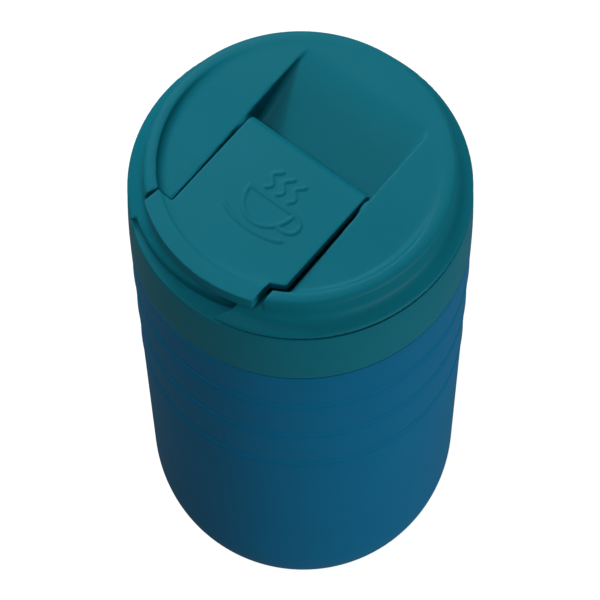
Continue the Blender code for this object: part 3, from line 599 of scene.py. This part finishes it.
milky = Finish("milky_silicone", Subsurface_Weight=0.25, Subsurface_Scale=0.002, IOR=1.41)
haze = milky.noise(3 * MM, 3.0)
milky.feed("Base Color", milky.mix(haze, (0.55, 0.58, 0.57, 1), (0.66, 0.68, 0.67, 1)))
milky.feed("Roughness", 0.34 + 0.16 * haze)
milky.bump(milky.noise(0.4 * MM), 0.015 * MM, 0.5)
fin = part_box("lid_gasket")[1].x
body = plug_radius - FIT_GAP
corners = [(groove + FIT_GAP, gasket_low, 0.2 * MM), (body, gasket_low, 0.2 * MM)]
for share in FIN_SHARES:
    z = gasket_low + (gasket_high - gasket_low) * share
    corners += [(body, z - FIN_ROOT, 0.25 * MM), (fin, z + FIN_LIFT - FIN_TIP, 0.12 * MM),
                (fin, z + FIN_LIFT + FIN_TIP, 0.12 * MM), (body, z + FIN_ROOT, 0.2 * MM)]
corners += [(body, gasket_high, 0.2 * MM), (groove + FIT_GAP, gasket_high, 0.2 * MM)]
gasket = new_object("gasket", turned(rounded(corners, 4), 160), milky.material)
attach(gasket, "lid_seal")
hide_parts("lid_gasket")
frame["nodes"]["spout_seal"].material_slots[0].material = milky.material
frame["nodes"]["vent_seal"].material_slots[0].material = milky.material


# Lid shell. The drinking rim, the dished deck and the channel for the flap are one moulding, welded to
# the collar along a narrow groove. The deck sinks from the rim's level towards the tab; the channel ends
# in a ramped scoop, a thumb notch opens under the tab, and a boss on each wall takes the hinge pin.

GROOVE_HEIGHT = 0.9 * MM
GROOVE_DEPTH = 0.6 * MM
SHOULDER_RISE = 1.0 * MM
VALLEY_RISE = 3.4 * MM
VALLEY_ROUND = 3.0 * MM
RIM_INSET = 4.6 * MM
RIM_ROUND = 1.7 * MM
RING_WIDTH = 3.4 * MM
RING_FILLET = 2.3 * MM
DISH_DROP = 2.8 * MM
DISH_START = 9.0 * MM
DISH_BLEND = 6.0 * MM
DISH_RINGS = 12
FILLET_STEPS = 10
FLAP_SIDE_GAP = 0.9 * MM
WELL_RISE = 2.2 * MM
WELL_INSET = 4.4 * MM
SEAT_RISE = 6.5 * MM
CHANNEL_FILLET = 0.8 * MM
SCOOP_START = 6.0 * MM
SCOOP_END_INSET = 9.2 * MM
SCOOP_SLOPE = 0.42
SCOOP_FILLET = 1.6 * MM
SCOOP_RUN_OUT = 0.02 * MM
SCOOP_STEPS = 36
SCOOP_FILLET_GROWTH = 0.08
SCOOP_FILLET_SHARE = 0.4
BOSS_RADIUS = 2.6 * MM
BOSS_GAP = 0.3 * MM
TAB_GAP = 0.45 * MM
TAB_RIGHT_GAP = 1.9 * MM
TAB_RIGHT_INSET = 3.5 * MM
TAB_LEFT = math.radians(36.3)
TAB_LEFT_LEAN = math.radians(3.6)
TAB_PROUD = 0.6 * MM
TAB_OVERLAP = 0.6 * MM
NOTCH_CENTRE = Vector((-4.5 * MM, -3.0 * MM))
NOTCH_INSET = 2.4 * MM
OVERRUN = 2.0 * MM
LID_VOXEL = 0.40 * MM

lid_low, rim_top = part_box("lid_shell")[0].z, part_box("lid_shell")[1].z
rim_radius = body_radius - RIM_INSET
ring_radius = rim_radius - RING_WIDTH
well = collar_high + WELL_RISE
seat = collar_high + SEAT_RISE
flap_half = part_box("flap")[1].x
channel_half = flap_half + FLAP_SIDE_GAP
well_front = rim_radius - WELL_INSET
scoop_end = rim_radius - SCOOP_END_INSET


def arc(centre, radius, start, end, steps=24):
    """Points of (x, y) on an arc; angles run from -Y towards -X."""
    angles = [start + (end - start) * i / steps for i in range(steps + 1)]
    return [(centre[0] - radius * math.sin(a), centre[1] - radius * math.cos(a)) for a in angles]


def dish_depth(y):
    """How far the deck lies below the rim at its middle line; it starts to sink without a crease."""
    past = DISH_START - y
    share = (past + math.hypot(past, DISH_BLEND)) / 2 / (DISH_START + ring_radius)
    return DISH_DROP * (1 - (1 - share) ** 2)


def scoop_floor(y):
    """Height of the scoop's floor: a ramp from the well that grows level as it meets the deck."""
    length = scoop_end - SCOOP_START
    share = max(0.0, y - SCOOP_START) / length
    rise = rim_top + SCOOP_RUN_OUT - well
    return well + SCOOP_SLOPE * length * share * (1 - share) ** 2 + rise * share ** 2 * (3 - 2 * share)


def tab_plan(grow=0.0, right_grow=0.0, reach=None):
    """Plan of the finger tab, or of its seat when it grows by a clearance."""
    outer = reach or rim_radius + TAB_PROUD
    inner = well_front - FLAP_SIDE_GAP - TAB_OVERLAP - grow
    left = TAB_LEFT + grow / rim_radius
    lean = left + TAB_LEFT_LEAN
    right = flap_half - TAB_RIGHT_INSET + right_grow
    plan = arc((0, 0), outer, left, -math.asin(right / outer))
    plan += arc((0, 0), inner, -math.asin(right / inner), math.asin((flap_half + grow) / inner))
    corner = ring_radius - grow
    plan.append((-corner * math.sin(lean), -corner * math.cos(lean)))
    return plan


def across(mesh, y, z):
    """Lays a mesh that was made round Z along X instead, on the line at y and z."""
    mesh.transform(Matrix.Translation((0, y, z)) @ Matrix.Rotation(math.pi / 2, 4, "Y"))
    return mesh


def lofted(sections):
    """The closed mesh through a row of closed sections that all have the same number of points."""
    bm = bmesh.new()
    rows = [[bm.verts.new(point) for point in section] for section in sections]
    for near, far in zip(rows, rows[1:]):
        for i in range(len(near)):
            j = (i + 1) % len(near)
            bm.faces.new((near[i], near[j], far[j], far[i]))
    bm.faces.new(rows[0])
    bm.faces.new(rows[-1])
    bmesh.ops.recalc_face_normals(bm, faces=bm.faces)
    mesh = bpy.data.meshes.new("lofted")
    bm.to_mesh(mesh)
    bm.free()
    return mesh


shoulder = collar_high + GROOVE_HEIGHT
groove_radius = collar_top_radius - GROOVE_DEPTH
outline = [(0.0, lid_low), (groove_radius, lid_low), (groove_radius, shoulder)]
outline += rounded([(collar_top_radius, shoulder, 0),
                    (collar_top_radius, shoulder + SHOULDER_RISE, 0.5 * MM),
                    (rim_radius, shoulder + VALLEY_RISE, VALLEY_ROUND), (rim_radius, rim_top, RIM_ROUND),
                    (ring_radius, rim_top, 0)], 8)
turns = [math.pi / 2 * i / FILLET_STEPS for i in range(1, FILLET_STEPS + 1)]
outline += [(ring_radius - RING_FILLET * (1 - math.cos(t)), rim_top) for t in turns]
outline += [((ring_radius - RING_FILLET) * (1 - i / DISH_RINGS), rim_top) for i in range(1, DISH_RINGS + 1)]
blank = turned(outline, 256)
for vertex in blank.vertices:
    r = math.hypot(vertex.co.x, vertex.co.y)
    if r < ring_radius - 1e-6 and vertex.co.z > seat:
        edge = min(1.0, (ring_radius - r) / RING_FILLET)
        vertex.co.z -= dish_depth(vertex.co.y) * math.sqrt(1 - (1 - edge) ** 2)

above, below = rim_top + OVERRUN, lid_low - OVERRUN
edge = math.asin(channel_half / well_front)
well_plan = arc((0, 0), well_front, edge, -edge) + [(channel_half, 0.0), (-channel_half, 0.0)]
sections = []
for i in range(SCOOP_STEPS + 1):
    y = -OVERRUN + (scoop_end + OVERRUN) * i / SCOOP_STEPS
    floor = scoop_floor(y)
    fillet = min(SCOOP_FILLET, CHANNEL_FILLET + max(0.0, y) * SCOOP_FILLET_GROWTH,
                 0.05 * MM + (rim_top - floor) * SCOOP_FILLET_SHARE)
    fillet = max(fillet, 0.04 * MM)
    sections.append([(x, y, z) for x, z in rounded([
        (-channel_half, above, 0), (-channel_half, floor, fillet), (channel_half, floor, fillet),
        (channel_half, above, 0)], 6)])
notch = arc(NOTCH_CENTRE, rim_radius - NOTCH_INSET, math.radians(34.5), -math.radians(26))
notch += arc((0, 0), body_radius + OVERRUN, -math.radians(6.3), math.radians(37))
hinge = Vector(frame["joints"][-1]["pos_m"])
steps = [("DIFFERENCE", prism(well_plan, well, above)), ("DIFFERENCE", lofted(sections)),
         ("DIFFERENCE", prism(tab_plan(TAB_GAP, TAB_RIGHT_GAP, body_radius + OVERRUN), seat, above)),
         ("DIFFERENCE", prism(notch, below, seat + OVERRUN)),
         ("DIFFERENCE", prism(hole, below, well + OVERRUN)),
         ("DIFFERENCE", prism(disc(VENT_RADIUS, vent_y), below, well + OVERRUN))]
for side in (-1, 1):
    ends = sorted((side * (flap_half + BOSS_GAP), side * (channel_half + FLAP_SIDE_GAP)))
    boss = [(0.0, ends[0]), (BOSS_RADIUS, ends[0]), (BOSS_RADIUS, ends[1]), (0.0, ends[1])]
    steps.append(("UNION", across(turned(boss, 48), hinge.y, hinge.z)))
lid_shell = carved("lid_top", blank, steps, teal, LID_VOXEL, 3)
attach(lid_shell, "lid")
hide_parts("lid_shell")


# Hinge pin. A short steel rod with turned-down ends, pushed through the flap's knuckle and
# sprung into a seat in each wall of the channel. Its steel is painted near black as shade, so the gaps
# beside the flap stay dark and show no glints.

PIN_CHAMFER = 0.3 * MM

pin_low, pin_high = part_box("hinge_pin")
pin_half, pin_radius = pin_high.x, (pin_high.z - pin_low.z) / 2
outline = [(0.0, -pin_half), (pin_radius - PIN_CHAMFER, -pin_half), (pin_radius, PIN_CHAMFER - pin_half),
           (pin_radius, pin_half - PIN_CHAMFER), (pin_radius - PIN_CHAMFER, pin_half), (0.0, pin_half)]
# The pin's colour is painted shade: steel darkened to near black so the gaps beside the flap look shadowed.
pin_steel_dark_as_shade = brushed_steel("steel_darkened_as_shade", (0.03, 0.03, 0.032), 0.42, 0.55, (4500, 60, 60))
pin = new_object("flap_pin", across(turned(outline, 48), hinge.y, hinge.z), pin_steel_dark_as_shade)
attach(pin, "lid")
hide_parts("hinge_pin")


# Flap. One moulding: a flat plate, a knuckle that turns on the pin, and a tab that fills the gap in the
# rim and reaches just past it for a fingertip. The plate's face lies a little below the tab's, with a
# soft step between, and carries a raised emblem of a steaming cup.

FLAP_DROP = 0.7 * MM
FLAP_THICKNESS = 2.6 * MM
STEP_RADIUS = 33.6 * MM
STEP_WIDTH = 3.0 * MM
KNUCKLE_RADIUS = 3.3 * MM
PIN_CLEARANCE = 0.25 * MM
FLAP_VOXEL = 0.26 * MM
STROKE_HALF = 0.38 * MM
STROKE_SOFT = 0.24 * MM
STROKE_HEIGHT = 0.30 * MM
EMBLEM_CENTRE = (0.8 * MM, -14.6 * MM)

flap_top = rim_top - FLAP_DROP
flap_under = flap_top - FLAP_THICKNESS
plate_front = well_front - FLAP_SIDE_GAP
edge = math.asin(flap_half / plate_front)
plate = arc((0, 0), plate_front, edge, -edge) + [(flap_half, hinge.y), (-flap_half, hinge.y)]
dip = [(0.0, flap_top), (STEP_RADIUS - STEP_WIDTH, flap_top)]
dip += ellipse((STEP_RADIUS - STEP_WIDTH, rim_top), STEP_WIDTH, FLAP_DROP, -80, 0, 12)
dip += [(STEP_RADIUS, above), (0.0, above)]
knuckle = [(0.0, -flap_half), (KNUCKLE_RADIUS, -flap_half), (KNUCKLE_RADIUS, flap_half), (0.0, flap_half)]
pin_hole = [(r and pin_radius + PIN_CLEARANCE, z * 1.1) for r, z in knuckle]
steps = [("UNION", prism(tab_plan(), seat + FIT_GAP, rim_top)),
         ("UNION", across(turned(knuckle, 72), hinge.y, hinge.z)),
         ("DIFFERENCE", turned(dip, 256)), ("DIFFERENCE", across(turned(pin_hole, 48), hinge.y, hinge.z))]
flap = carved("flap_cover", prism(plate, flap_under, flap_top), steps, teal, FLAP_VOXEL, 4)

bowl = ellipse((0.0, 3.2), 6.6, 7.4, 180, 360, 36) + [(-6.6, 3.2)]
ear = ellipse((6.6, 0.6), 3.2, 2.5, 75, -105, 20)
saucer = ellipse((0.0, -1.6), 10.4, 4.6, 215, 325, 20)
plumes = [[(x + 0.85 * math.sin(k * 0.31), 5.0 + 0.23 * k) for k in range(25)] for x in (-3.4, 0.0, 3.4)]
points = np.array([v.co for v in flap.data.vertices])
nearest = np.full(len(points), 1.0)
for stroke in [bowl, ear, saucer] + plumes:
    line = np.array(stroke) * MM + EMBLEM_CENTRE
    for start, end in zip(line, line[1:]):
        along = end - start
        share = np.clip((points[:, :2] - start) @ along / (along @ along), 0, 1)
        gap = points[:, :2] - start - share[:, None] * along
        nearest = np.minimum(nearest, np.hypot(gap[:, 0], gap[:, 1]))
rise = np.clip((STROKE_HALF + STROKE_SOFT - nearest) / STROKE_SOFT, 0, 1)
rise = STROKE_HEIGHT * rise * rise * (3 - 2 * rise)
points[:, 2] += np.where(points[:, 2] > flap_top - FINE, rise, 0.0)
flap.data.vertices.foreach_set("co", points.ravel())
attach(flap, "flap")
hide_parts("flap")


# Under the flap. A dark plate snapped to its underside holds the silicone stopper for the drink hole,
# whose stem is pulled through the plate, and a small cone that shuts the air hole.

UNDER_INSET = 1.2 * MM
STEM_RADIUS = 2.0 * MM
STOPPER_CLEARANCE = 0.6 * MM
STOPPER_SKIRT = 1.2 * MM
STOPPER_DEPTH = 1.3 * MM
UNDER_VOXEL = 0.30 * MM
STOPPER_VOXEL = 0.20 * MM

under_low, under_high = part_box("flap_underplate")[0].z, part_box("flap_underplate")[1].z
front = plate_front - TAB_OVERLAP - FIT_GAP
half = flap_half - UNDER_INSET
edge = math.asin(half / front)
rear = hinge.y - KNUCKLE_RADIUS - UNDER_INSET
plan = arc((0, 0), front, edge, -edge) + [(half, rear), (-half, rear)]
steps = [("DIFFERENCE", prism(disc(STEM_RADIUS + FIT_GAP, hole_y), under_low - FINE, under_high + FINE))]
underplate = carved("flap_backing", prism(plan, under_low, under_high), steps, dark_teal, UNDER_VOXEL, 2)
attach(underplate, "flap")
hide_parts("flap_underplate")

head = under_low - FIT_GAP
plug = slot(HOLE_HALF_LENGTH, HOLE_HALF_WIDTH, hole_y, -STOPPER_CLEARANCE)
skirt = slot(HOLE_HALF_LENGTH, HOLE_HALF_WIDTH, hole_y, STOPPER_SKIRT)
steps = [("UNION", prism(skirt, well + FIT_GAP, head)),
         ("UNION", prism(disc(STEM_RADIUS, hole_y), well, under_high))]
stopper = carved("drink_stopper", prism(plug, well - STOPPER_DEPTH, head), steps, milky.material,
                 STOPPER_VOXEL, 5)
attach(stopper, "flap")
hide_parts("spout_stopper")

vent_low, vent_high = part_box("vent_stopper")
tip = VENT_RADIUS - STOPPER_CLEARANCE
wide = (vent_high.x - vent_low.x) / 2
cone = rounded([(0.0, vent_low.z, 0), (tip, vent_low.z, 0.3 * MM), (wide, vent_high.z, 0.3 * MM),
                (0.0, vent_high.z, 0)], 5)
cone_mesh = turned(cone, 64)
cone_mesh.transform(Matrix.Translation((0, vent_y, 0)))
vent_stopper = new_object("air_stopper", cone_mesh, milky.material)
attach(vent_stopper, "flap")
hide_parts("vent_stopper")


# Studio. A plain pale floor that casts no light back on the cup, soft boxes above, behind, to the left
# and low to the right, a small spot on the lid, and a camera looking down on it with a long lens.

CAMERA_AZIMUTH = math.radians(39.4)
CAMERA_HEADING = math.radians(39.472)
CAMERA_HEIGHT = 0.8031
CAMERA_REACH = 0.3535
CAMERA_TILT = math.radians(63.35)
CAMERA_ROLL = -0.0135
CAMERA_LENS = 183.85
FLOOR_SIZE = 6.0
FLOOR_LOW, FLOOR_TOP = -0.011, -0.0004

paper = Finish("white_floor", Base_Color=(0.12, 0.12, 0.12, 1), Roughness=0.9,
               Emission_Color=(1, 1, 1, 1), Emission_Strength=0.97)
half = FLOOR_SIZE / 2
floor_mesh = prism([(-half, -half), (half, -half), (half, half), (-half, half)], FLOOR_LOW, FLOOR_TOP)
floor = new_object("floor", floor_mesh, paper.material)
floor.visible_diffuse = False
floor.visible_glossy = False

world = bpy.data.worlds.new("studio")
bpy.context.scene.world = world
world.use_nodes = True
world.node_tree.nodes["Background"].inputs["Color"].default_value = (1, 1, 1, 1)
world.node_tree.nodes["Background"].inputs["Strength"].default_value = 0.17


def lamp(name, kind, azimuth, elevation, distance, watts, **settings):
    """A light that faces the middle of the lid; azimuth 0 is in front, at -Y."""
    light = bpy.data.lights.new(name, kind)
    light.energy = watts
    for label, value in settings.items():
        setattr(light, label, value)
    holder = bpy.data.objects.new(name, light)
    a, e = math.radians(azimuth), math.radians(elevation)
    back = Vector((math.sin(a) * math.cos(e), -math.cos(a) * math.cos(e), math.sin(e)))
    holder.location = Vector((0, 0, collar_high)) + back * distance
    holder.rotation_mode = "QUATERNION"
    holder.rotation_quaternion = back.to_track_quat("Z", "Y")
    bpy.context.scene.collection.objects.link(holder)


lamp("left_box", "AREA", -125, 42, 0.9, 4.6, size=0.4)
lamp("lid_spot", "SPOT", -80, 45, 0.9, 25, spot_size=math.radians(5.9), spot_blend=0.25,
     shadow_soft_size=0.09)
lamp("top_box", "AREA", -15, 66, 0.9, 2.0, size=0.25)
lamp("back_box", "AREA", 178, 45, 0.8, 0.9, size=0.15)
lamp("right_box", "AREA", 88, -6, 0.7, 2.8, shape="RECTANGLE", size=0.5, size_y=0.13)

camera = bpy.data.objects.new("camera", bpy.data.cameras.new("camera"))
camera.data.lens = CAMERA_LENS
camera.data.clip_start = 0.05
sine, cosine = math.sin(CAMERA_HEADING), math.cos(CAMERA_HEADING)
forward = Vector((-sine * math.cos(CAMERA_TILT), cosine * math.cos(CAMERA_TILT), -math.sin(CAMERA_TILT)))
right = Vector((cosine, sine, 0))
up = right.cross(forward)
across_view = math.cos(CAMERA_ROLL) * right + math.sin(CAMERA_ROLL) * up
up = across_view.cross(forward)
place = Vector((math.sin(CAMERA_AZIMUTH) * CAMERA_REACH, -math.cos(CAMERA_AZIMUTH) * CAMERA_REACH,
                CAMERA_HEIGHT))
camera.matrix_world = Matrix((
    (across_view.x, up.x, -forward.x, place.x), (across_view.y, up.y, -forward.y, place.y),
    (across_view.z, up.z, -forward.z, place.z), (0, 0, 0, 1)))
bpy.context.scene.collection.objects.link(camera)
bpy.context.scene.camera = camera
bpy.context.scene.view_settings.view_transform = "Standard"
